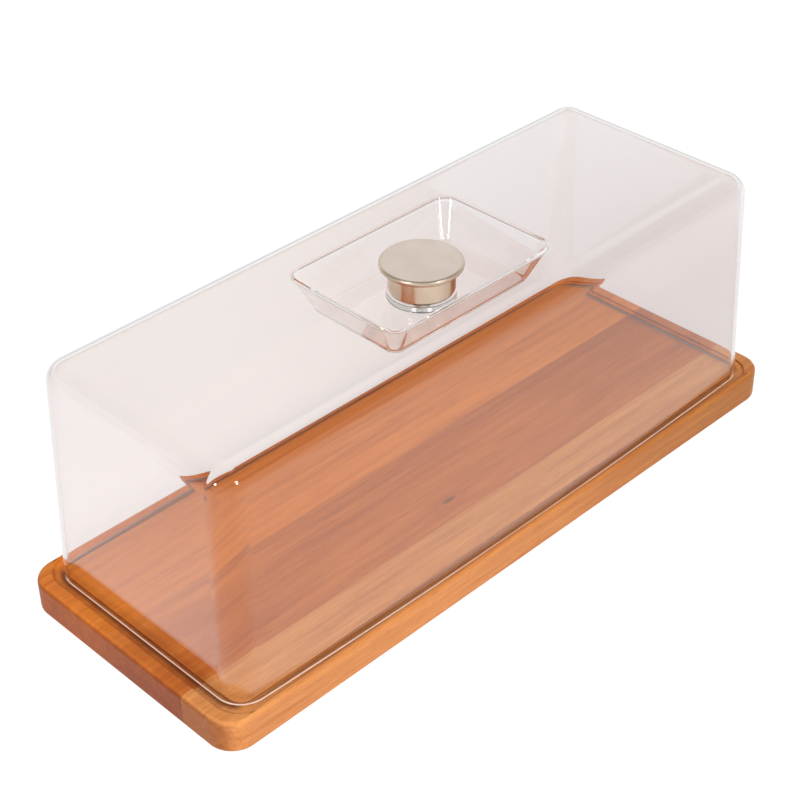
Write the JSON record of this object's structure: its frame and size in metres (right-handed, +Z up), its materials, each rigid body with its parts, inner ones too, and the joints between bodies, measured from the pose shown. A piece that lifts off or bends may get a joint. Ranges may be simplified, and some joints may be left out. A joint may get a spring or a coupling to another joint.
{
  "type": "cake box",
  "caption": "Covered box for a loaf cake: a grooved hardwood board and a clear lift-off cover with a metal knob in a well on its top.",
  "frame": {"origin": "centre of the board's underside", "axes": "+Z up, +X along the board's length, +Y towards the back long side"},
  "size_m": [0.38, 0.145, 0.1365],
  "materials": {
    "wood_light": "oiled, lighter stave",
    "wood_dark": "oiled, darker stave",
    "clear_acrylic": "clear, polished",
    "knob_metal": "pale gold, polished drum, matt top",
    "clear_soft": "clear, satin",
    "steel": "zinc plated",
    "nylon": "white, satin"
  },
  "bodies": {
    "board": {"back_stave": "wood_light", "middle_stave": "wood_dark", "front_stave": "wood_light"},
    "cover": {"cover": "clear_acrylic", "knob": "knob_metal", "seat_washer": "clear_soft", "knob_screw": "steel", "nylon_washer": "nylon", "steel_washer": "steel"}
  },
  "joints": [
    {"name": "cover_lift", "type": "slide", "parent": "board", "child": "cover", "axis": [0, 0, 1], "range_m": [0, 0.16]}
  ]
}
